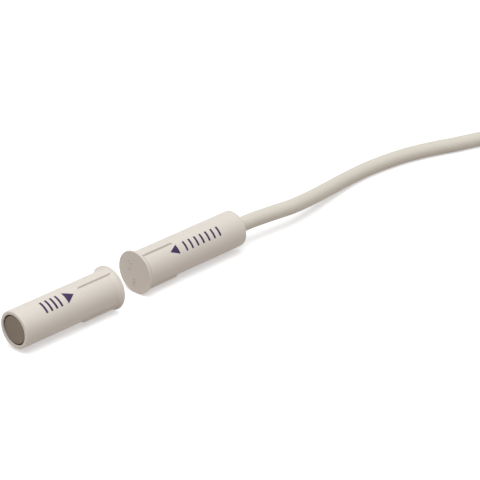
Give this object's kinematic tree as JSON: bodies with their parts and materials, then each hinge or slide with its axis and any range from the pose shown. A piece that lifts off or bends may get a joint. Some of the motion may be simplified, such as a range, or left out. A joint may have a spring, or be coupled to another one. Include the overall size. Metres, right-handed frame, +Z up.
{
  "type": "recessed magnetic contact",
  "caption": "Recessed magnetic door and window contact: a round magnet plug and a round reed-switch plug with thin flanges, crush ribs and a tied four-core cable.",
  "frame": {"origin": "middle of the pair on the surface that it lies on, the free cable and its hank left out", "axes": "+X along the two housings from the magnet half to the cable's exit, +Z up, the two sensing faces towards each other"},
  "size_m": [0.2406, 0.0297, 0.0203],
  "materials": {
    "housing_plastic": "fine satin moulding",
    "magnet_metal": "ground, dull grey",
    "adhesive": "cured",
    "envelope_glass": "clear, pale green",
    "blade_metal": "drawn and flattened wire",
    "sleeve_plastic": "thin sleeving",
    "solder": "solidified, satin",
    "core_white": "smooth insulation",
    "core_brown": "smooth insulation",
    "core_green": "smooth insulation",
    "core_yellow": "smooth insulation",
    "copper": "drawn wire",
    "jacket": "soft, matte",
    "resin": "cast",
    "tie_plastic": "smooth moulding",
    "tinned_wire": "tinned"
  },
  "bodies": {
    "root": {"magnet_housing": "housing_plastic", "magnet": "magnet_metal", "magnet_adhesive": "adhesive", "switch_housing": "housing_plastic", "reed_glass": "envelope_glass", "front_blade": "blade_metal", "rear_blade": "blade_metal", "return_sleeve": "sleeve_plastic", "front_joint": "solder", "rear_joint": "solder", "tamper_joint": "solder", "core_white": "core_white", "core_brown": "core_brown", "core_green": "core_green", "core_yellow": "core_yellow", "conductors": "copper", "cable_inlet": "jacket", "resin_seal": "resin", "cable_lead": "jacket", "cable_hank": "jacket", "cable_end": "jacket", "cable_tie": "tie_plastic", "tail_white": "core_white", "tail_brown": "core_brown", "tail_green": "core_green", "tail_yellow": "core_yellow", "tinned_tips": "tinned_wire"}
  },
  "joints": []
}
